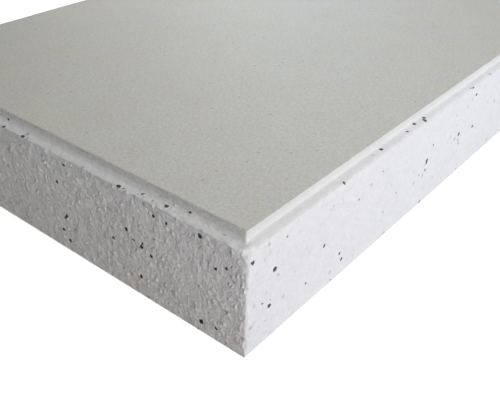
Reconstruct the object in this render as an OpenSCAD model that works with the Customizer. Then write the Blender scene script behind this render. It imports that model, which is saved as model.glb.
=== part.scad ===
// Insulated gypsum fibre panel: a thin gypsum fibre board bonded onto a thick slab of expanded
// polystyrene foam. The board is smaller than the slab, so a narrow ledge of bare foam runs round it.
// Lengths are in millimetres. The origin is the centre of the slab's underside, +X runs along the
// panel's length and +Z points up, from the foam to the board.

/* [Foam slab] */
// Length of the slab, along X
slab_length = 1000; // [500:10:1300]
// Width of the slab, along Y
slab_width = 500; // [300:10:1250]
// Thickness of the slab
slab_thickness = 100; // [40:5:240]
// Radius that handling leaves on the slab's upper and upright arrises
slab_arris = 1; // [0.5:0.1:3]

/* [Gypsum fibre board] */
// Thickness of the board
board_thickness = 10; // [8:0.5:20]
// Width of the bare foam ledge between the board's edge and the slab's face
ledge_width = 10; // [9:0.5:40]
// Width of the chamfer on the board's upper arrises
board_arris = 0.5; // [0.2:0.1:2]
// Radius of the board's four blunt upright corners
board_corner = 2; // [0.5:0.5:4]

/* [Knocked corner] */
// How far the knock reaches along each of the two upper arrises that meet at the corner
knock_reach = 8; // [4:0.5:8.5]
// Depth of the knock's centre of curvature behind each of the two upright faces
knock_depth = 20; // [14:1:30]

/* [Hidden] */
$fn = 96;
board_length = slab_length - 2 * ledge_width;
board_width = slab_width - 2 * ledge_width;
// The knock is a ball's surface that meets both upper arrises at knock_reach from the corner, and closes
// onto the line of the upright arris at knock_drop below it, level with the ball's centre.
knock_drop = sqrt(knock_reach * (2 * knock_depth - knock_reach));
knock_radius = sqrt(2) * knock_depth;

// An outline in plan, centred on the origin, with its four corners rounded.
module plan(length, width, radius) {
    square([length - 2 * radius, width], center = true);
    square([length, width - 2 * radius], center = true);
    for (x = [-1, 1], y = [-1, 1])
        translate([x * (length / 2 - radius), y * (width / 2 - radius)]) circle(r = radius);
}

// Stands a section up and runs it along Y, centred on the origin.
module along_y(length) {
    translate([0, length / 2, 0]) rotate([90, 0, 0]) linear_extrude(length) children();
}

// Stands a section up and runs it along X, centred on the origin.
module along_x(length) {
    rotate([0, 0, 90]) along_y(length) children();
}

// The slab's section, standing on Y = 0: square at the foot and rounded above.
module slab_section(width) {
    inner = width / 2 - slab_arris;
    shoulder = slab_thickness - slab_arris;
    translate([-width / 2, 0]) square([width, shoulder]);
    translate([-inner, 0]) square([2 * inner, slab_thickness]);
    for (side = [-1, 1]) translate([side * inner, shoulder]) circle(r = slab_arris);
}

// The square-edged slab with its upper and upright arrises softened.
module softened_slab() {
    intersection() {
        along_y(slab_width) slab_section(slab_length);
        along_x(slab_length) slab_section(slab_width);
        linear_extrude(slab_thickness) plan(slab_length, slab_width, slab_arris);
    }
}

// What a knock takes off the slab's upper corner at -X, -Y.
module knock() {
    translate([-slab_length / 2, -slab_width / 2, slab_thickness]) mirror([0, 0, 1]) difference() {
        translate([-1, -1, -1]) cube([knock_depth + 1, knock_depth + 1, knock_drop + 1]);
        translate([knock_depth, knock_depth, knock_drop]) sphere(r = knock_radius);
    }
}

module foam_slab() {
    color("#eceef2") difference() {
        softened_slab();
        knock();
    }
}

// The board's section: square below and chamfered above.
module board_section(width) {
    inner = width / 2 - board_arris;
    shoulder = board_thickness - board_arris;
    polygon([[-width / 2, 0], [width / 2, 0], [width / 2, shoulder],
             [inner, board_thickness], [-inner, board_thickness], [-width / 2, shoulder]]);
}

module gypsum_fibre_board() {
    color("#b7b9b0") translate([0, 0, slab_thickness]) intersection() {
        along_y(board_width) board_section(board_length);
        along_x(board_length) board_section(board_width);
        linear_extrude(board_thickness) plan(board_length, board_width, board_corner);
    }
}

foam_slab();
gypsum_fibre_board();
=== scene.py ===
# Insulated gypsum fibre panel: a gypsum fibre board bonded onto a slab of expanded polystyrene foam
# with dark beads in it. The board is set back, so a ledge of bare foam runs round it.
# Lengths are in metres, or in millimetres where the name ends in Mm.
import math

import bpy
import numpy as np
from mathutils import Matrix, Vector


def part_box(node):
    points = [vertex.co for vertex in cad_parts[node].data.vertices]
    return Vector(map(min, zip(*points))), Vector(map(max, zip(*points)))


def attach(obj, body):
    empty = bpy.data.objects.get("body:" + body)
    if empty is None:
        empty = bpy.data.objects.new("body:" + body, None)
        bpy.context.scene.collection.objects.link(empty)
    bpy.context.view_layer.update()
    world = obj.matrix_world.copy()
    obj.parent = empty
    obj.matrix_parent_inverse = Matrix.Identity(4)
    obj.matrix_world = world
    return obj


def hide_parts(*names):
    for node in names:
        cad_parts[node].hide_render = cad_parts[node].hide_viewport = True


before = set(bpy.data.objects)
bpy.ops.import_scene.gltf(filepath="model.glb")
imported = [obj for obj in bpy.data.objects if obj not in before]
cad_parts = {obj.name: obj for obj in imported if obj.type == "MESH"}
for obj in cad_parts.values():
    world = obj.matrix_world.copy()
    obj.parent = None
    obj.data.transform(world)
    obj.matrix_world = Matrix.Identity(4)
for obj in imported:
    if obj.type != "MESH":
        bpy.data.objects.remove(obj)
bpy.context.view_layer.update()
slabLow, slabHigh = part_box("foam_slab")
boardLow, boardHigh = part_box("gypsum_fibre_board")
ledgeWide = boardLow[0] - slabLow[0]
scene = bpy.context.scene
mm = 0.001
noiseSpan = (0.3, 0.7)  # nearly all of a noise texture lies between these
print("frame loaded")


# The linear values of an sRGB hex colour.
def linearColour(hexCode):
    values = [int(hexCode[i:i + 2], 16) / 255 for i in (1, 3, 5)]
    return tuple(v / 12.92 if v <= 0.04045 else ((v + 0.055) / 1.055) ** 2.4 for v in values) + (1,)


# Adds a node and gives it back. Unnamed values fill its inputs in order. Named ones set a property
# where the name is in small letters, and otherwise an input. A socket is linked, and so is a node, by
# the first output that it shows.
def addNode(tree, kind, *inputs, **named):
    node = tree.nodes.new(kind if "Node" in kind else "ShaderNode" + kind)
    for name, value in named.items():
        if name.islower():
            setattr(node, name, value)
    pairs = list(zip([socket for socket in node.inputs if socket.enabled], inputs))
    pairs += [(node.inputs[name], value) for name, value in named.items() if not name.islower()]
    for socket, value in pairs:
        if isinstance(value, bpy.types.Node):
            value = next(output for output in value.outputs if output.enabled)
        if isinstance(value, bpy.types.NodeSocket):
            tree.links.new(value, socket)
        else:
            socket.default_value = value
    return node


cameraView = {
    "lensMm": 50.19,
    "sensorMm": 36,
    "fromCorner": (-0.3013, -0.2334, 0.3963),  # from the foot of the slab's near corner
    "headingDeg": 37.775,  # from +X towards +Y
    "downDeg": 33.327,
    "rollDeg": 2.066,
}
stageLook = {
    "floorHex": "#f3f3f1",
    "floorSpan": 60,
    "floorRoughness": 0.9,
    "floorGlow": 0.62,  # what the camera sees on top of the lit floor, as on a lit table
    "skyHex": "#fbfbfb",
    "sweepFrom": 0.65,  # metres from the panel's middle
    "sweepTo": 1.3,
    "boxSize": 1.0,  # each softbox is square
    "boxAim": (-0.1, -0.05, 0.05),
    # where each softbox stands, its power in watts and its tint
    "boxes": {
        "key": ((-1.0, -2.0, 2.0), 21.3, "#fffffe"),
        "upper left": ((-1.0, -1.1, 2.0), 7.4, "#fffef7"),
        "overhead": ((0.0, 0.5, 2.0), 3.4, "#fefff9"),
        "right": ((2.0, 0.5, 2.0), 19.6, "#fcfcff"),
        "far right": ((2.0, 1.4, 1.1), 14.6, "#e0ecff"),
        "front low": ((0.0, -1.1, 0.45), 4.4, "#f1f2ff"),
        "left fill": ((-2.0, -2.0, 0.45), 8.9, "#fff4f6"),
        "back fill": ((1.0, 1.4, 0.45), 7.9, "#fefff9"),
    },
}


def addCamera(view):
    heading, down, roll = (math.radians(view[k]) for k in ("headingDeg", "downDeg", "rollDeg"))
    level = math.cos(down)
    forward = Vector((level * math.cos(heading), level * math.sin(heading), -math.sin(down)))
    right = forward.cross(Vector((0, 0, 1))).normalized()
    up = right.cross(forward)
    cosine, sine = math.cos(roll), math.sin(roll)
    right, up = right * cosine + up * sine, up * cosine - right * sine
    data = bpy.data.cameras.new("camera")
    data.lens = view["lensMm"]
    data.sensor_width = view["sensorMm"]
    camera = bpy.data.objects.new("camera", data)
    camera.matrix_world = Matrix.Translation(Vector(slabLow) + Vector(view["fromCorner"])) @ Matrix(
        (right, up, -forward)).transposed().to_4x4()
    scene.collection.objects.link(camera)
    scene.camera = camera


def addStage(look):
    # the sky only shows to the camera: the softboxes do the lighting
    world = bpy.data.worlds.new("studio")
    scene.world = world
    world.use_nodes = True
    tree = world.node_tree
    path = addNode(tree, "LightPath")
    sky = tree.nodes["Background"]
    sky.inputs["Color"].default_value = linearColour(look["skyHex"])
    tree.links.new(path.outputs["Is Camera Ray"], sky.inputs["Strength"])

    half = look["floorSpan"] / 2
    mesh = bpy.data.meshes.new("floor")
    corners = [(-half, -half, 0), (half, -half, 0), (half, half, 0), (-half, half, 0)]
    mesh.from_pydata(corners, [], [(0, 1, 2, 3)])
    floor = bpy.data.objects.new("floor", mesh)
    floor.location.z = slabLow[2]
    scene.collection.objects.link(floor)
    paint = bpy.data.materials.new("matt white studio floor")
    paint.use_nodes = True
    tree = paint.node_tree
    body = tree.nodes["Principled BSDF"]
    body.inputs["Base Color"].default_value = linearColour(look["floorHex"])
    body.inputs["Roughness"].default_value = look["floorRoughness"]
    seen = addNode(tree, "LightPath").outputs["Is Camera Ray"]
    glow = addNode(tree, "Math", seen, look["floorGlow"], operation="MULTIPLY")
    tree.links.new(glow.outputs[0], body.inputs["Emission Strength"])
    body.inputs["Emission Color"].default_value = (1, 1, 1, 1)
    # further out the camera sees the sweep's even white, in every direction
    reach = addNode(tree, "VectorMath", addNode(tree, "TexCoord").outputs["Object"], operation="LENGTH")
    fade = addNode(tree, "MapRange", reach, look["sweepFrom"], look["sweepTo"],
                   interpolation_type="SMOOTHSTEP")
    fade = addNode(tree, "Math", fade, seen, operation="MULTIPLY")
    sweep = addNode(tree, "Emission", Color=linearColour(look["skyHex"]), Strength=1.0)
    mixed = addNode(tree, "MixShader", fade, body, sweep)
    tree.links.new(mixed.outputs[0], tree.nodes["Material Output"].inputs["Surface"])
    mesh.materials.append(paint)

    for name, (spot, power, tint) in look["boxes"].items():
        lamp = bpy.data.lights.new(name, "AREA")
        lamp.size = look["boxSize"]
        lamp.energy = power
        lamp.color = linearColour(tint)[:3]
        box = bpy.data.objects.new(name, lamp)
        box.location = spot
        box.rotation_euler = (Vector(look["boxAim"]) - box.location).to_track_quat("-Z", "Y").to_euler()
        box.visible_camera = False
        scene.collection.objects.link(box)
    scene.view_settings.view_transform = "Standard"


addCamera(cameraView)
addStage(stageLook)
print("camera, floor and light are up")


# Distances from one end of an edge: close together round the arris, then opening out evenly.
def spacing(lengthMm, arrisStepsMm, nearMm, farMm):
    steps = list(arrisStepsMm)
    count = max(2, round((lengthMm - 2 * steps[-1]) / (farMm - nearMm) * math.log(farMm / nearMm)))
    middle = np.cumsum(np.geomspace(nearMm, farMm, count))
    middle = middle / middle[-1] * (lengthMm - 2 * steps[-1]) + steps[-1]
    return np.array(steps + list(middle[:-1]) + [lengthMm - s for s in reversed(steps)]) * mm


# Each nth index between two rims, and the last one there.
def coarse(count, step, rim):
    return list(range(rim, count - rim - 1, step)) + [count - rim - 1]


# Every index near both ends and each nth one between.
def thinned(count, step, rim):
    inner = list(range(rim, count - rim, step))
    if len(inner) > 1 and count - rim - inner[-1] < step / 2:
        inner.pop()
    return sorted(set(list(range(rim)) + inner + list(range(count - rim - 1, count))))


def keyOf(axis, at, u, v):
    return (at, u, v) if axis == 0 else (u, at, v) if axis == 1 else (u, v, at)


# A closed block whose faces are grids with their own spacing. Where a fine face meets a coarse one,
# the coarse face's cells take in the fine one's points, so nothing is left open.
def blockMesh(low, xs, ys, zs, patches):
    index, points, cells = {}, [], []
    for axis, at, us, vs, turn in patches:
        for u in us:
            for v in vs:
                key = keyOf(axis, at, u, v)
                if key not in index:
                    index[key] = len(points)
                    points.append((low[0] + xs[key[0]], low[1] + ys[key[1]], low[2] + zs[key[2]]))
    for axis, at, us, vs, turn in patches:
        for u0, u1 in zip(us, us[1:]):
            for v0, v1 in zip(vs, vs[1:]):
                rim = [(u, v0) for u in range(u0, u1)] + [(u1, v) for v in range(v0, v1)]
                rim += [(u, v1) for u in range(u1, u0, -1)] + [(u0, v) for v in range(v1, v0, -1)]
                loop = [index[k] for k in (keyOf(axis, at, u, v) for u, v in rim) if k in index]
                loop = loop[::-1] if turn else loop
                if len(loop) < 6:
                    cells.append(loop)
                    continue
                # a cell that took in many points is a fan round its middle
                middle = len(points)
                points.append(tuple(sum(points[n][i] for n in loop) / len(loop) for i in range(3)))
                cells += [(loop[n - 1], loop[n], middle) for n in range(len(loop))]
    return np.array(points), cells


# The points drawn in round the box's arrises to a radius of their own.
def roundArrises(points, low, high, radius):
    radius = radius[:, None]
    core = np.clip(points, low + radius, high - radius)
    off = points - core
    length = np.linalg.norm(off, axis=1, keepdims=True)
    normal = off / np.maximum(length, 1e-9)
    return core + normal * radius, normal


def makeObject(name, points, cells, material):
    mesh = bpy.data.meshes.new(name)
    mesh.from_pydata(points.tolist(), [], cells)
    mesh.validate()
    mesh.materials.append(material)
    mesh.polygons.foreach_set("use_smooth", [True] * len(mesh.polygons))
    mesh.update()
    piece = bpy.data.objects.new(name, mesh)
    scene.collection.objects.link(piece)
    return piece


# What a texture says at each point, read through geometry nodes, so that a mesh can follow the same
# texture as its material.
def readTexture(points, build):
    mesh = bpy.data.meshes.new("probe")
    mesh.from_pydata(points.tolist(), [], [])
    probe = bpy.data.objects.new("probe", mesh)
    scene.collection.objects.link(probe)
    group = bpy.data.node_groups.new("probe", "GeometryNodeTree")
    group.interface.new_socket("Geometry", in_out="INPUT", socket_type="NodeSocketGeometry")
    group.interface.new_socket("Geometry", in_out="OUTPUT", socket_type="NodeSocketGeometry")
    shape = addNode(group, "NodeGroupInput").outputs["Geometry"]
    place = addNode(group, "GeometryNodeInputPosition").outputs["Position"]
    wanted = build(group, place)
    for name, socket in wanted.items():
        shape = addNode(group, "GeometryNodeStoreNamedAttribute", data_type="FLOAT_VECTOR",
                        Geometry=shape, Name=name, Value=socket).outputs["Geometry"]
    addNode(group, "NodeGroupOutput", Geometry=shape)
    probe.modifiers.new("probe", "NODES").node_group = group
    evaluated = probe.evaluated_get(bpy.context.evaluated_depsgraph_get())
    result = evaluated.to_mesh()
    found = {}
    for name in wanted:
        values = np.empty(len(points) * 3, np.float32)
        result.attributes[name].data.foreach_get("vector", values)
        found[name] = values.reshape(-1, 3).astype(float)
    evaluated.to_mesh_clear()
    bpy.data.objects.remove(probe)
    bpy.data.meshes.remove(mesh)
    bpy.data.node_groups.remove(group)
    return found


foam = {
    "beadMm": 4.6,  # the foamed beads are 3 to 5 mm across
    "beadStray": 0.8,  # how unevenly they are packed
    "wanderMm": 0.45,  # how far a bead's outline strays from round
    "outlineMm": 2.2,  # along the outline, from one wobble to the next
    "ballSize": (0.40, 0.58),  # radius of a bead inside its cell, as a share of beadMm
    "whites": (0.965, 1.0),  # each bead is foamed to its own density, so its white differs a little
    "seamShadeTone": 0.97,  # and the seams between them are painted darker: painted shade in the grooves
    "seamShadeWide": 0.07,
    "whiteHex": "#f2f3f4",
    "darkHex": "#2c2d31",
    "duskHex": "#5e5f64",
    "greyHex": "#bfc1c6",
    "dustAndBounceHex": "#fefbf9",  # warm dust low on the sawn sides, in patches, and with it painted warm bounce light from the floor
    "dustAndBounceMm": 26,  # from one patch to the next
    "dustAndBounceSpan": (0.45, 0.68),
    "dustAndBouncePatchy": 0.6,  # share of it that lies in the patches, and the rest is even
    "dustAndBounceHigh": 0.8,  # share of the height where it ends
    "ledgeCornerShadeHex": "#f7f6f4",  # painted shade on the long ledges near the corner, as a darker tint
    "ledgeCornerShadeMm": (350, 140),  # it fades in between these distances from the corner
    "gatherMm": 16,  # from one gathering of dark beads to the next
    "gatherSpan": (0.60, 0.72),  # of a noise texture: they are sparse below it and gather above it
    "raggedMm": 0.7,  # how far the saw frayed a dark bead's outline
    "raggedStepMm": 1.9,  # along the outline, from one notch to the next
    "darkEdge": 12.0,  # how sharply its outline ends
    "darkFrom": 0.83,  # another start makes other beads the dark ones
    "darkShare": 0.008,  # share of the beads that are dark where they are sparse
    "clusterShare": 0.05,  # and where they gather
    "ledgeTimes": 3.2,  # there are more of them on the ledge
    "greyShare": 0.05,  # beads that are only a shade darker
    "greyEdge": 9.0,
    "greyFaint": 1.6,  # most of them are faint, and more so with a higher power
    "arrisMm": (1.1, 4.0),  # the arrises are worn round, more in some places than in others
    "wearMm": 11,  # along an arris, from a worn place to a sharp one
    "uprightArrisMm": 3.0,  # how much rounder the upright arrises are
    "longArrisMm": 2.5,  # and the upper arrises of the long sides
    "rounderMm": 12,  # the extra fades out over this distance, from half of it on
    "footArrisMm": 0.3,
    "footMm": 6,  # the wear fades in up to this height
    "rubbed": 0.5,  # how much of the relief is rubbed off along the arrises
    "rubbedMm": 3.0,  # within this distance of them
    "proudest": 0.985,  # the share of the relief that lies behind the true face
    "standMm": 0.15,  # how far one bead stands behind its neighbour
    "lean": 0.10,  # how much a bead's cut face tips from its neighbours'
    "domeMm": 1.0,
    "domeCap": 0.35,  # it ends where the square of the distance from its middle, in cells, reaches this
    "hollow": -0.6,  # the saw leaves some beads as hollows instead of domes
    "grooveMm": 0.08,  # the seams between the beads
    "grooveWide": 0.13,
    "beadRelief": 0.8,  # share of the mesh's relief that is drawn as bump too
    "tearMm": 1.8,  # crumbs of foam left by the saw's teeth
    "tearTall": 1.5,  # each crumb is drawn out along the saw's stroke
    "tearSlant": -0.08,  # which leans this much
    "tearLeast": 0.2,  # the flattest crumb, as a share of the tallest
    "tearDeepMm": 1.2,
    "tearCap": 0.45,  # where a crumb ends, as for a dome
    "shredMm": 1.8,  # between the crumbs the foam is shredded
    "shredDeepMm": 1.2,
    "clumpMm": 5.0,  # from one place where a clump could stand to the next
    "clumpShare": 0.2,  # share of them where one does
    "clumpTallMm": 2.4,
    "clumpSteep": 3.0,
    "unevenMm": 15,  # from a place that was cut finely to one that was cut coarsely
    "uneven": (0.6, 1.4),
    "frayMm": 0.6,  # how far a crumb's outline strays
    "grainMm": 0.07,  # depth of the finest grain
    "grainStepMm": 1.0,  # its width, drawn coarser than the 0.1 mm cells of the foam so that it shows
    # how rough each cut is: the short sides are sawn, the long ones wire-cut, the ledge routed
    "shortCut": 1.0,
    "coarser": 0.1,  # the saw cut coarser away from the near corner, up to this share
    "coarserMm": 250,
    "longCut": 0.48,
    "ledgeCut": 0.38,
    "longLedgeCut": 0.26,
    "chipShare": 0.12,  # beads rubbed off along an arris
    "chipMm": 1.3,
    # foam dust and glue in the corner under the board: its width, and its height on each pair of sides
    "filletMm": {"wide": 2.4, "shortSides": 3.1, "longSides": 0.4},
    "knockReachMm": 13.5,  # along the ledge from the corner
    "knockDropMm": 18.0,  # and down the upright arris
    "knockDepthMm": 41.0,  # of the middle of its curve, behind both faces
    "knockRough": 0.2,  # share of the relief that the knock left
    "ledgeDeepMm": 1.2,  # what lies less than this far below the top counts as ledge
    # rows of the mesh from an arris across the ledge
    "ledgeRowsMm": (0, 0.35, 0.8, 1.4, 2.2, 3.2, 4.2, 5.2, 6.2, 7.2, 8.0, 8.7, 9.3, 9.8, 10.3, 10.9),
    "uprightRows": 7,  # the height takes this many of them
    "footRows": 4,  # and the underside this many
    "nearStepMm": 1.0,  # the mesh opens out from the near corner
    "farStepMm": 4.2,
    "widthStep": 0.6,  # and less so along the short sides
    "innerSteps": 24,  # what the board and the floor hide is this many times coarser
}


# The beads of the foam at the point given. The same nodes serve the mesh and the material, so both
# agree about where every bead lies.
def beadNodes(tree, place, values):
    stray = addNode(tree, "TexNoise", Vector=place, Scale=1 / (values["outlineMm"] * mm), Detail=1.0)
    centred = addNode(tree, "VectorMath", stray.outputs["Color"], (0.5, 0.5, 0.5), operation="SUBTRACT")
    pushed = addNode(tree, "VectorMath", centred, operation="SCALE", Scale=values["wanderMm"] * 2 * mm)
    moved = addNode(tree, "VectorMath", place, pushed, operation="ADD")
    cell = {"Vector": moved, "Scale": 1 / (values["beadMm"] * mm), "Randomness": values["beadStray"]}
    bead = addNode(tree, "TexVoronoi", **cell)
    wall = addNode(tree, "TexVoronoi", feature="DISTANCE_TO_EDGE", **cell)
    # three random numbers of the bead's own
    chance = addNode(tree, "SeparateXYZ", bead.outputs["Color"]).outputs

    # each bead's cut face leans a little, stands at its own height and swells out or is hollow
    away = addNode(tree, "VectorMath", moved, bead.outputs["Position"], operation="SUBTRACT")
    tip = addNode(tree, "VectorMath", bead.outputs["Color"], (0.5, 0.5, 0.5), operation="SUBTRACT")
    lean = addNode(tree, "VectorMath", away, tip, operation="DOT_PRODUCT")
    lean = addNode(tree, "Math", lean, 2 * values["lean"] / mm, operation="MULTIPLY")
    square = addNode(tree, "Math", bead, 2.0, operation="POWER")
    swell = addNode(tree, "MapRange", chance["Z"], 0, 1, values["hollow"], 1)
    dome = addNode(tree, "Math", values["domeCap"], square, operation="SUBTRACT", use_clamp=True)
    dome = addNode(tree, "Math", dome, swell, operation="MULTIPLY")
    dome = addNode(tree, "Math", dome, values["domeCap"], operation="SUBTRACT")
    dome = addNode(tree, "Math", dome, values["domeMm"], operation="MULTIPLY")
    groove = addNode(tree, "MapRange", wall, 0, values["grooveWide"], -values["grooveMm"], 0,
                     interpolation_type="SMOOTHSTEP")
    stand = addNode(tree, "Math", chance["X"], -values["standMm"], operation="MULTIPLY")
    relief = addNode(tree, "Math", addNode(tree, "Math", lean, dome, operation="ADD"),
                     addNode(tree, "Math", groove, stand, operation="ADD"), operation="ADD")

    # the crumbs are drawn out along the stroke of the saw, which leans on the short sides
    x, y, z = addNode(tree, "SeparateXYZ", place).outputs
    slant = addNode(tree, "Math", z, -values["tearSlant"], y, operation="MULTIPLY_ADD")
    squat = addNode(tree, "Math", z, values["tearTall"], operation="DIVIDE")
    drawn = addNode(tree, "CombineXYZ", x, slant, squat)
    sway = [2 * values["frayMm"] * mm] * 3
    frayed = addNode(tree, "VectorMath", centred, sway, drawn, operation="MULTIPLY_ADD")
    crumb = addNode(tree, "TexVoronoi", Vector=frayed, Scale=1 / (values["tearMm"] * mm))
    rise = addNode(tree, "SeparateXYZ", crumb.outputs["Color"]).outputs["X"]
    rise = addNode(tree, "MapRange", rise, 0, 1, values["tearLeast"], 1)
    square = addNode(tree, "Math", crumb, 2.0, operation="POWER")
    tear = addNode(tree, "Math", values["tearCap"], square, operation="SUBTRACT", use_clamp=True)
    tear = addNode(tree, "Math", tear, rise, operation="MULTIPLY")
    tear = addNode(tree, "Math", tear, values["tearCap"], operation="SUBTRACT")
    tear = addNode(tree, "Math", tear, values["tearDeepMm"], operation="MULTIPLY")
    # between them the foam is shredded
    shred = addNode(tree, "TexNoise", Vector=drawn, Scale=1 / (values["shredMm"] * mm), Detail=2.0,
                    Roughness=0.6)
    shred = addNode(tree, "Math", shred, 0.5, operation="SUBTRACT")
    shred = addNode(tree, "Math", shred, values["shredDeepMm"], operation="MULTIPLY")
    tear = addNode(tree, "Math", tear, shred, operation="ADD")
    # here and there a clump of foam was left standing
    clump = addNode(tree, "TexVoronoi", Vector=frayed, Scale=1 / (values["clumpMm"] * mm))
    stands = addNode(tree, "SeparateXYZ", clump.outputs["Color"]).outputs["X"]
    stands = addNode(tree, "Math", stands, values["clumpShare"], operation="LESS_THAN")
    heap = addNode(tree, "Math", clump, values["clumpSteep"], operation="MULTIPLY")
    heap = addNode(tree, "Math", 1.0, heap, operation="SUBTRACT", use_clamp=True)
    heap = addNode(tree, "Math", heap, stands, operation="MULTIPLY")
    heap = addNode(tree, "Math", heap, values["clumpTallMm"], operation="MULTIPLY")
    tear = addNode(tree, "Math", tear, heap, operation="ADD")
    # and the cut is coarser in some places than in others
    uneven = addNode(tree, "TexNoise", Vector=place, Scale=1 / (values["unevenMm"] * mm), Detail=1.0)
    uneven = addNode(tree, "MapRange", uneven, *noiseSpan, *values["uneven"])
    tear = addNode(tree, "Math", tear, uneven, operation="MULTIPLY")
    relief = addNode(tree, "Math", relief, tear, operation="ADD")
    return {"bead": bead, "wall": wall, "chance": chance, "relief": relief}


# Expanded polystyrene, cut with a saw and a hot wire: matt white beads packed together, each a little
# different in tone, with a few dark grey ones, and crumbs of torn foam that catch the light.
def foamMaterial(values):
    paint = bpy.data.materials.new("expanded polystyrene, sawn and wire-cut")
    paint.use_nodes = True
    tree = paint.node_tree
    body = tree.nodes["Principled BSDF"]
    place = addNode(tree, "TexCoord").outputs["Object"]
    y, height = addNode(tree, "SeparateXYZ", place).outputs[1:]
    beads = beadNodes(tree, place, values)
    chance = beads["chance"]

    # the beads, and painted shade in their seams
    tone = addNode(tree, "MapRange", chance["Y"], 0, 1, *values["whites"])
    # painted shade: the seams between the beads are drawn darker
    seamShade = addNode(tree, "MapRange", beads["wall"], 0, values["seamShadeWide"], values["seamShadeTone"], 1)
    tone = addNode(tree, "Math", tone, seamShade, operation="MULTIPLY")
    colour = addNode(tree, "Mix", 1.0, linearColour(values["whiteHex"]), tone,
                     data_type="RGBA", blend_type="MULTIPLY")

    # dust in patches low on the sawn sides, and painted warm bounce light from the floor with it
    dustAndBounce = addNode(tree, "TexNoise", Vector=place, Scale=1 / (values["dustAndBounceMm"] * mm), Detail=2.0)
    dustAndBounce = addNode(tree, "MapRange", dustAndBounce, *values["dustAndBounceSpan"], interpolation_type="SMOOTHSTEP")
    patchy = values["dustAndBouncePatchy"]
    dustAndBounce = addNode(tree, "Math", dustAndBounce, patchy, 1 - patchy, operation="MULTIPLY_ADD")
    lowDown = addNode(tree, "MapRange", height, values["dustAndBounceHigh"] * slabHigh[2], slabLow[2])
    dustAndBounce = addNode(tree, "Math", lowDown, dustAndBounce, operation="MULTIPLY")
    facing = addNode(tree, "NewGeometry").outputs["True Normal"]
    facing = addNode(tree, "SeparateXYZ", facing).outputs["X"]
    facing = addNode(tree, "Math", facing, operation="ABSOLUTE")
    onSawn = addNode(tree, "Math", facing, 0.6, operation="GREATER_THAN")
    dustAndBounce = addNode(tree, "Math", onSawn, dustAndBounce, operation="MULTIPLY")
    # a warm tint low on the sawn sides: dust, and painted warm bounce light from the floor
    colour = addNode(tree, "Mix", dustAndBounce, colour, linearColour(values["dustAndBounceHex"]),
                     data_type="RGBA", blend_type="MULTIPLY")

    # painted shade on the long ledges near the corner, as a darker tint
    ledgeFrom = slabHigh[2] - values["ledgeDeepMm"] * mm
    onLedge = addNode(tree, "Math", height, ledgeFrom, operation="GREATER_THAN")
    aside = addNode(tree, "Math", y, operation="ABSOLUTE")
    longLedgeShade = addNode(tree, "Math", aside, slabHigh[1] - ledgeWide - 0.3 * mm, operation="GREATER_THAN")
    longLedgeShade = addNode(tree, "Math", onLedge, longLedgeShade, operation="MULTIPLY")
    fromFoot = addNode(tree, "VectorMath", place, slabLow, operation="DISTANCE")
    nearby = addNode(tree, "MapRange", fromFoot, *[far * mm for far in values["ledgeCornerShadeMm"]])
    longLedgeShade = addNode(tree, "Math", longLedgeShade, nearby, operation="MULTIPLY")
    # painted shade: the long ledges are drawn darker towards the corner
    colour = addNode(tree, "Mix", longLedgeShade, colour, linearColour(values["ledgeCornerShadeHex"]),
                     data_type="RGBA", blend_type="MULTIPLY")

    # a bead is a ball inside its cell, so its cut face is round
    radius = addNode(tree, "MapRange", chance["Y"], 0, 1, *values["ballSize"])
    ball = addNode(tree, "Math", radius, beads["bead"], operation="SUBTRACT")
    ball = addNode(tree, "Math", ball, values["greyEdge"], operation="MULTIPLY", use_clamp=True)
    # some are only a shade darker
    grey = addNode(tree, "Math", chance["X"], 1 - values["greyShare"], operation="GREATER_THAN")
    grey = addNode(tree, "Math", grey, ball, operation="MULTIPLY")
    faint = addNode(tree, "Math", chance["Z"], values["greyFaint"], operation="POWER")
    grey = addNode(tree, "Math", grey, faint, operation="MULTIPLY")
    colour = addNode(tree, "Mix", grey, colour, linearColour(values["greyHex"]), data_type="RGBA")

    # a few are dark, and they gather in places and on the ledge
    gather = addNode(tree, "TexNoise", Vector=place, Scale=1 / (values["gatherMm"] * mm), Detail=0.0)
    share = addNode(tree, "MapRange", gather, *values["gatherSpan"],
                    values["darkShare"], values["clusterShare"], interpolation_type="SMOOTHSTEP")
    more = addNode(tree, "Math", onLedge, values["ledgeTimes"] - 1, operation="MULTIPLY")
    more = addNode(tree, "Math", 1.0, more, operation="ADD")
    share = addNode(tree, "Math", share, more, operation="MULTIPLY")
    turned = addNode(tree, "Math", chance["X"], 1 - values["darkFrom"], operation="ADD")
    turned = addNode(tree, "Math", turned, operation="FRACT")
    isDark = addNode(tree, "Math", turned, share, operation="LESS_THAN")
    # the saw tore them, so their outlines are ragged
    fray = addNode(tree, "TexNoise", Vector=place, Scale=1 / (values["raggedStepMm"] * mm), Detail=1.0)
    fray = addNode(tree, "Math", fray, 0.5, operation="SUBTRACT")
    fray = addNode(tree, "Math", fray, 2 * values["raggedMm"] / values["beadMm"], operation="MULTIPLY")
    ragged = addNode(tree, "Math", radius, fray, operation="ADD")
    ragged = addNode(tree, "Math", ragged, beads["bead"], operation="SUBTRACT")
    ragged = addNode(tree, "Math", ragged, values["darkEdge"], operation="MULTIPLY", use_clamp=True)
    dark = addNode(tree, "Math", isDark, ragged, operation="MULTIPLY")
    coal = addNode(tree, "Mix", chance["Z"], linearColour(values["darkHex"]),
                   linearColour(values["duskHex"]), data_type="RGBA")
    colour = addNode(tree, "Mix", dark, colour, coal, data_type="RGBA")
    tree.links.new(colour.outputs["Result"], body.inputs["Base Color"])
    body.inputs["Roughness"].default_value = 0.7
    body.inputs["IOR"].default_value = 1.45
    body.inputs["Specular IOR Level"].default_value = 0.3

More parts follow.
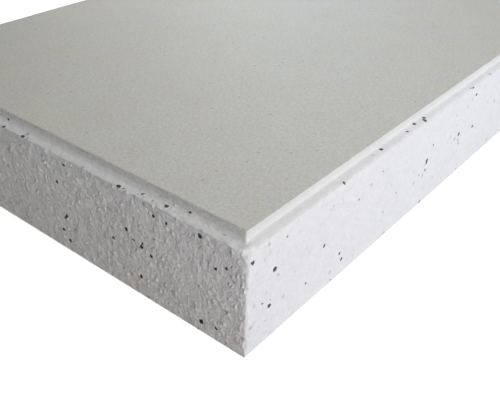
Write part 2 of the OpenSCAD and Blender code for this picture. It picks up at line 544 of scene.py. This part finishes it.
    # the same relief as the mesh has, where the mesh is too coarse for it, and the finest grain
    cut = addNode(tree, "Attribute", attribute_name="cut").outputs["Fac"]
    fine = addNode(tree, "TexNoise", Vector=place, Scale=1 / (values["grainStepMm"] * mm), Detail=2.0,
                   Roughness=0.6)
    grain = addNode(tree, "Math", fine, 2 * values["grainMm"], operation="MULTIPLY")
    relief = addNode(tree, "Math", beads["relief"], values["beadRelief"], operation="MULTIPLY")
    relief = addNode(tree, "Math", relief, grain, operation="ADD")
    relief = addNode(tree, "Math", cut, relief, operation="MULTIPLY")
    bump = addNode(tree, "Bump", Height=relief, Strength=1.0, Distance=mm)
    tree.links.new(bump.outputs["Normal"], body.inputs["Normal"])
    return paint


def foamSlab(values):
    size = [(slabHigh[i] - slabLow[i]) / mm for i in range(3)]
    ledge = values["ledgeRowsMm"]
    near, far = values["nearStepMm"], values["farStepMm"]
    xs = spacing(size[0], ledge, near, far)
    ys = spacing(size[1], ledge, near, far * values["widthStep"])
    zs = spacing(size[2], ledge[:values["uprightRows"]], near, near * 1.01)  # nearly even
    nx, ny, nz = len(xs), len(ys), len(zs)
    rim = len(ledge) - 1
    allX, allY, allZ = list(range(nx)), list(range(ny)), list(range(nz))
    # the near sawn side takes every row, and the other sides every second one
    farX, farY, farZ = thinned(nx, 2, rim), thinned(ny, 2, rim), thinned(nz, 2, 3)
    patches = [
        (1, 0, farX, farZ, False), (1, ny - 1, farX, farZ, True),
        (0, 0, allY, allZ, True), (0, nx - 1, farY, farZ, False),
    ]
    coarseX, coarseY = (coarse(count, values["innerSteps"], rim) for count in (nx, ny))
    for at, turn, edge in ((nz - 1, False, rim), (0, True, values["footRows"])):
        lastX, lastY = nx - 1 - edge, ny - 1 - edge
        lowRim, highX, highY = list(range(edge + 1)), list(range(lastX, nx)), list(range(lastY, ny))
        middleX = [edge] + [i for i in coarseX if edge < i < lastX] + [lastX]
        middleY = [edge] + [j for j in coarseY if edge < j < lastY] + [lastY]
        innerY = sorted({j for j in farY if edge <= j <= lastY} | {edge, lastY})
        patches += [
            (2, at, allX, lowRim, turn), (2, at, farX, highY, turn),
            (2, at, lowRim, list(range(edge, ny - edge)), turn), (2, at, highX, innerY, turn),
            (2, at, middleX, middleY, turn),
        ]
    points, cells = blockMesh(slabLow, xs, ys, zs, patches)
    print("foam slab:", len(points), "points,", len(cells), "cells")

    def build(tree, place):
        beads = beadNodes(tree, place, values)
        worn = addNode(tree, "TexNoise", Vector=place, Scale=1 / (values["wearMm"] * mm), Detail=2.0)
        return {"colour": beads["bead"].outputs["Color"], "relief": beads["relief"], "worn": worn}

    found = readTexture(points, build)
    chance, relief = found["colour"], found["relief"][:, 0] * mm
    worn = np.clip((found["worn"][:, 0] - noiseSpan[0]) / (noiseSpan[1] - noiseSpan[0]), 0, 1)
    low, high = np.array(slabLow), np.array(slabHigh)
    # distance from the nearest and the second nearest face, to know an arris from a face
    gaps = np.sort(np.concatenate([points - low, high - points], axis=1), axis=1)
    nearArris = np.clip(1 - gaps[:, 1] / (values["rubbedMm"] * mm), 0, 1)
    fromShort = np.minimum(points[:, 0] - low[0], high[0] - points[:, 0])
    fromLong = np.minimum(points[:, 1] - low[1], high[1] - points[:, 1])

    # the arrises are rounder along the uprights and along the top of the long sides
    least, most = values["arrisMm"]
    radius = least + (most - least) * worn ** 2
    radius += (chance[:, 2] < values["chipShare"]) * nearArris * values["chipMm"]
    upright = np.hypot(fromShort, fromLong)
    above = np.hypot(fromLong, high[2] - points[:, 2])
    for distance, extra in ((upright, values["uprightArrisMm"]), (above, values["longArrisMm"])):
        radius += np.clip(1.5 - distance / (values["rounderMm"] * mm), 0, 1) * extra
    # the foot stays straight: it was sawn against the bench and hasn't been knocked
    foot = np.clip((points[:, 2] - low[2]) / (values["footMm"] * mm), 0, 1)
    foot = foot * foot * (3 - 2 * foot)
    radius = values["footArrisMm"] * (1 - foot) + radius * foot
    shaped, normal = roundArrises(points, low, high, radius * mm)

    # each side has its own cut, and the relief is rubbed off along the arrises
    onShort = fromShort < fromLong
    onTop = points[:, 2] > high[2] - 1e-6
    alongShort = np.clip((points[:, 1] - low[1]) / (values["coarserMm"] * mm), 0, 1)
    sawn = values["shortCut"] * (1 + values["coarser"] * alongShort)
    wired = np.full(len(points), values["longCut"])
    routed = np.where(onShort, values["ledgeCut"], values["longLedgeCut"])
    rough = (normal ** 2 * np.stack([sawn, wired, routed], axis=1)).sum(axis=1)
    cut = rough * (1 - values["rubbed"] * nearArris * foot)
    sunk = np.clip(np.quantile(relief, values["proudest"]) - relief, 0, None)
    mean = np.mean(sunk)
    sunk = mean * rough + (sunk - mean) * foot * cut
    underBoard = onTop & (gaps[:, 1] > ledgeWide - 0.1 * mm)
    onBottom = points[:, 2] < low[2] + 1e-6
    sunk[underBoard | onBottom] = 0
    shaped = shaped - normal * sunk[:, None]

    # the fillet of dust and glue climbs the board's edge, higher in some places
    fillet = values["filletMm"]
    climb = np.clip(1 - (ledgeWide - gaps[:, 1]) / (fillet["wide"] * mm), 0, 1.1) * onTop
    tall = np.where(onShort, fillet["shortSides"], fillet["longSides"]) * mm
    shaped[:, 2] += climb ** 2.2 * tall * (0.6 + 0.8 * worn) * (gaps[:, 1] < ledgeWide + 0.4 * mm)

    # the knocked corner: nothing stands outside a ball that meets the ledge's edges at one reach
    # and closes onto the upright arris further down
    reach, drop, depth = (values[k] * mm for k in ("knockReachMm", "knockDropMm", "knockDepthMm"))
    below = (drop ** 2 - reach ** 2 + 2 * depth * reach) / (2 * drop)
    ball = np.array((low[0] + depth, low[1] + depth, high[2] - below))
    knockRadius = math.sqrt(2 * depth ** 2 + (below - drop) ** 2)
    away = shaped - ball
    distance = np.linalg.norm(away, axis=1)
    kept = knockRadius - values["knockRough"] * sunk
    inCorner = (shaped[:, 0] < ball[0]) & (shaped[:, 1] < ball[1]) & (shaped[:, 2] > ball[2])
    inCorner = inCorner & (distance > kept)
    shaped[inCorner] = ball + away[inCorner] / distance[inCorner, None] * kept[inCorner, None]
    cut[inCorner] *= values["knockRough"]

    piece = makeObject("FoamSlab", shaped, cells, foamMaterial(values))
    piece.data.attributes.new("cut", "FLOAT", "POINT").data.foreach_set("value", cut.astype(np.float32))
    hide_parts("foam_slab")
    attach(piece, "root")
    print("foam slab triangles:", sum(len(c) - 2 for c in cells))


foamSlab(foam)
print("foam slab is built")


board = {
    "faceHex": "#c9c8bf",
    "edgeHex": "#f0f1ef",
    "edgeTopShade": 0.88,  # the sawn edge is painted darker towards its upper arris and lighter at its foot: painted shade, and painted bounce light from the ledge
    "edgeFootBounce": 1.06,
    "sootMm": 3.0,  # dark specks on the sawn short edges, thickest under the upper arris
    "sootSpan": (0.45, 0.65),
    "sootLeast": 0.3,  # share of it at the foot of the edge
    "sootTone": 0.78,
    "mottleMm": 2.4,  # the paper fibres clump at this size in the pressed face
    "mottle": (0.86, 1.10),
    "edgeMottle": (0.93, 1.03),  # the sawn edges are more even
    "cloudMm": 55,  # broad, faint patches of tint
    "clouds": (0.985, 1.015),
    "fleckMm": 9,  # from one dark fleck to the next
    "fleckTone": 0.55,
    "fleckFaint": 4.0,  # most of them are faint, and more so with a higher power
    "fleckSize": (0.07, 0.19),  # it fades out between these, as a share of fleckMm
    "warmHex": "#cbc7b2",  # in patches the pressed face is yellower
    "patchMm": 38,
    "patchSpan": (0.42, 0.68),
    "patchMost": 0.3,
    "faceReliefMm": 0.12,  # depth of the fibre in the pressed face
    "longEdgeMm": 0.02,  # how rough the edges were sawn
    "shortEdgeMm": 1.1,
    # how far sideways a face turns, from the finish of the long edges to that of the short ones
    "turnSpan": (0.3, 0.7),
    "arrisMm": (0.3, 1.5),  # the upper arris crumbles where it was sawn
    "shortArris": 1.7,  # times as much on the short edges
    "crumbleMm": 2.8,
    "crumbleSpan": (0.35, 0.70),  # of a noise texture: from a whole arris to a crumbled one
    "cornerMm": 2.6,  # the upright corners are knocked blunt
    # rows of the mesh from an arris inwards, and up the edge
    "arrisRowsMm": (0, 0.3, 0.7, 1.2, 1.9, 2.8),
    "edgeRowsMm": (0, 0.5, 1.5, 3, 4.6, 6.2, 7.4, 8.3, 8.9, 9.3, 9.7, 10),
    "nearStepMm": 1.3,  # the mesh opens out from the near corner
    "farStepMm": 5.0,
    "widthStep": 0.6,  # and less so along the short sides
    "innerSteps": 8,  # the flat middles of the face and the underside are this many times coarser
}


# Gypsum fibre board, pressed in its face and sawn at its edges: greenish grey and matt, with a fine
# mottle of paper fibre. The edges are lighter, and the short ones are rough and specked with soot.
def boardMaterial(values):
    paint = bpy.data.materials.new("gypsum fibre board, pressed and sawn")
    paint.use_nodes = True
    tree = paint.node_tree
    body = tree.nodes["Principled BSDF"]
    place = addNode(tree, "TexCoord").outputs["Object"]
    height = addNode(tree, "SeparateXYZ", place).outputs["Z"]
    onFace = addNode(tree, "Math", height, boardHigh[2] - 0.3 * mm, operation="GREATER_THAN")
    across = addNode(tree, "NewGeometry").outputs["True Normal"]
    across = addNode(tree, "SeparateXYZ", across).outputs["X"]
    across = addNode(tree, "Math", across, operation="ABSOLUTE")

    # pressed gypsum and paper fibre: a fine mottle and faint clouds
    fibre = addNode(tree, "TexNoise", Vector=place, Scale=1 / (values["mottleMm"] * mm), Detail=3.0,
                    Roughness=0.6)
    edgeMottle = addNode(tree, "MapRange", fibre, *noiseSpan, *values["edgeMottle"])
    faceMottle = addNode(tree, "MapRange", fibre, *noiseSpan, *values["mottle"])
    mottle = addNode(tree, "Mix", onFace, edgeMottle, faceMottle)
    cloud = addNode(tree, "TexNoise", Vector=place, Scale=1 / (values["cloudMm"] * mm), Detail=2.0)
    cloud = addNode(tree, "MapRange", cloud, *noiseSpan, *values["clouds"])
    tone = addNode(tree, "Math", mottle, cloud, operation="MULTIPLY")

    # here and there a dark fleck of paper in the face
    fleck = addNode(tree, "TexVoronoi", Vector=place, Scale=1 / (values["fleckMm"] * mm))
    strength = addNode(tree, "SeparateXYZ", fleck.outputs["Color"]).outputs["X"]
    strength = addNode(tree, "Math", strength, values["fleckFaint"], operation="POWER")
    disc = addNode(tree, "MapRange", fleck, *values["fleckSize"], 1, 0, interpolation_type="SMOOTHSTEP")
    flecks = addNode(tree, "Math", strength, disc, operation="MULTIPLY")
    flecks = addNode(tree, "Math", flecks, onFace, operation="MULTIPLY")
    flecks = addNode(tree, "MapRange", flecks, 0, 1, 1, values["fleckTone"])

    # soot on the short edges
    soot = addNode(tree, "TexNoise", Vector=place, Scale=1 / (values["sootMm"] * mm), Detail=2.0,
                   Roughness=0.7)
    soot = addNode(tree, "MapRange", soot, *values["sootSpan"], 0, 1)
    rising = addNode(tree, "MapRange", height, boardLow[2], boardHigh[2], values["sootLeast"], 1)
    soot = addNode(tree, "Math", soot, rising, operation="MULTIPLY")
    onShort = addNode(tree, "MapRange", across, *values["turnSpan"], 0, 1)
    soot = addNode(tree, "Math", soot, onShort, operation="MULTIPLY")
    soot = addNode(tree, "MapRange", soot, 0, 1, 1, values["sootTone"])
    specks = addNode(tree, "Math", flecks, soot, operation="MULTIPLY")
    tone = addNode(tree, "Math", tone, specks, operation="MULTIPLY")

    # the colours of the edge and of the face; the edge is painted darker towards its top and lighter at
    # its foot, as painted shade and painted bounce light
    # painted shade towards the edge's top and painted bounce light at its foot
    edge = addNode(tree, "MapRange", height, boardLow[2], boardHigh[2],
                   values["edgeFootBounce"], values["edgeTopShade"])
    edge = addNode(tree, "Mix", 1.0, linearColour(values["edgeHex"]), edge,
                   data_type="RGBA", blend_type="MULTIPLY")
    patch = addNode(tree, "TexNoise", Vector=place, Scale=1 / (values["patchMm"] * mm), Detail=1.0)
    patch = addNode(tree, "MapRange", patch, *values["patchSpan"], 0, values["patchMost"],
                    interpolation_type="SMOOTHSTEP")
    face = addNode(tree, "Mix", patch, linearColour(values["faceHex"]), linearColour(values["warmHex"]),
                   data_type="RGBA")
    colour = addNode(tree, "Mix", onFace, edge, face, data_type="RGBA")
    colour = addNode(tree, "Mix", 1.0, colour, tone, data_type="RGBA", blend_type="MULTIPLY")
    tree.links.new(colour.outputs["Result"], body.inputs["Base Color"])
    body.inputs["Roughness"].default_value = 0.55
    body.inputs["IOR"].default_value = 1.52

    # the saw left the short edges rougher than the long ones
    depth = addNode(tree, "MapRange", across, *values["turnSpan"],
                    values["longEdgeMm"], values["shortEdgeMm"])
    depth = addNode(tree, "Mix", onFace, depth, values["faceReliefMm"])
    relief = addNode(tree, "Math", fibre, depth, operation="MULTIPLY")
    bump = addNode(tree, "Bump", Height=relief, Strength=1.0, Distance=mm)
    tree.links.new(bump.outputs["Normal"], body.inputs["Normal"])
    return paint


def fibreBoard(values):
    size = [(boardHigh[i] - boardLow[i]) / mm for i in range(3)]
    arris = values["arrisRowsMm"]
    near, far = values["nearStepMm"], values["farStepMm"]
    xs = spacing(size[0], arris, near, far)
    ys = spacing(size[1], arris, near, far * values["widthStep"])
    zs = np.array(values["edgeRowsMm"]) * mm
    nx, ny, nz = len(xs), len(ys), len(zs)
    allX, allY, allZ = list(range(nx)), list(range(ny)), list(range(nz))
    patches = [
        (1, 0, allX, allZ, False), (1, ny - 1, allX, allZ, True),
        (0, 0, allY, allZ, True), (0, nx - 1, allY, allZ, False),
    ]
    rim = len(arris)
    lowRim, innerY = list(range(rim + 1)), list(range(rim, ny - rim))
    highX, highY = list(range(nx - 1 - rim, nx)), list(range(ny - 1 - rim, ny))
    middleX, middleY = (coarse(count, values["innerSteps"], rim) for count in (nx, ny))
    for at, turn in ((nz - 1, False), (0, True)):
        patches += [
            (2, at, allX, lowRim, turn), (2, at, allX, highY, turn),
            (2, at, lowRim, innerY, turn), (2, at, highX, innerY, turn),
            (2, at, middleX, middleY, turn),
        ]
    points, cells = blockMesh(boardLow, xs, ys, zs, patches)
    low, high = np.array(boardLow), np.array(boardHigh)

    def build(tree, place):
        crumble = addNode(tree, "TexNoise", Vector=place, Scale=1 / (values["crumbleMm"] * mm), Detail=3.0)
        return {"crumble": crumble}

    whole, crumbled = values["crumbleSpan"]
    crumble = (readTexture(points, build)["crumble"][:, 0] - whole) / (crumbled - whole)
    crumble = np.clip(crumble, 0, 1)
    least, most = values["arrisMm"]
    onShort = np.minimum(points[:, 0] - low[0], high[0] - points[:, 0]) < 1.5 * mm
    radius = (least + (most - least) * crumble ** 2) * np.where(onShort, values["shortArris"], 1) * mm
    # blunt corners: the board's outline is rounded in plan first, then its arrises
    blunt = values["cornerMm"] * mm * (0.7 + 0.6 * crumble)[:, None]
    core = np.clip(points[:, :2], low[:2] + blunt, high[:2] - blunt)
    off = points[:, :2] - core
    reach = np.linalg.norm(off, axis=1, keepdims=True)
    points[:, :2] = np.where(reach > blunt, core + off / np.maximum(reach, 1e-9) * blunt, points[:, :2])
    shaped = roundArrises(points, low, high, radius)[0]

    piece = makeObject("GypsumFibreBoard", shaped, cells, boardMaterial(values))
    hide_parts("gypsum_fibre_board")
    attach(piece, "root")
    print("board triangles:", sum(len(c) - 2 for c in cells))


fibreBoard(board)
print("board is built")
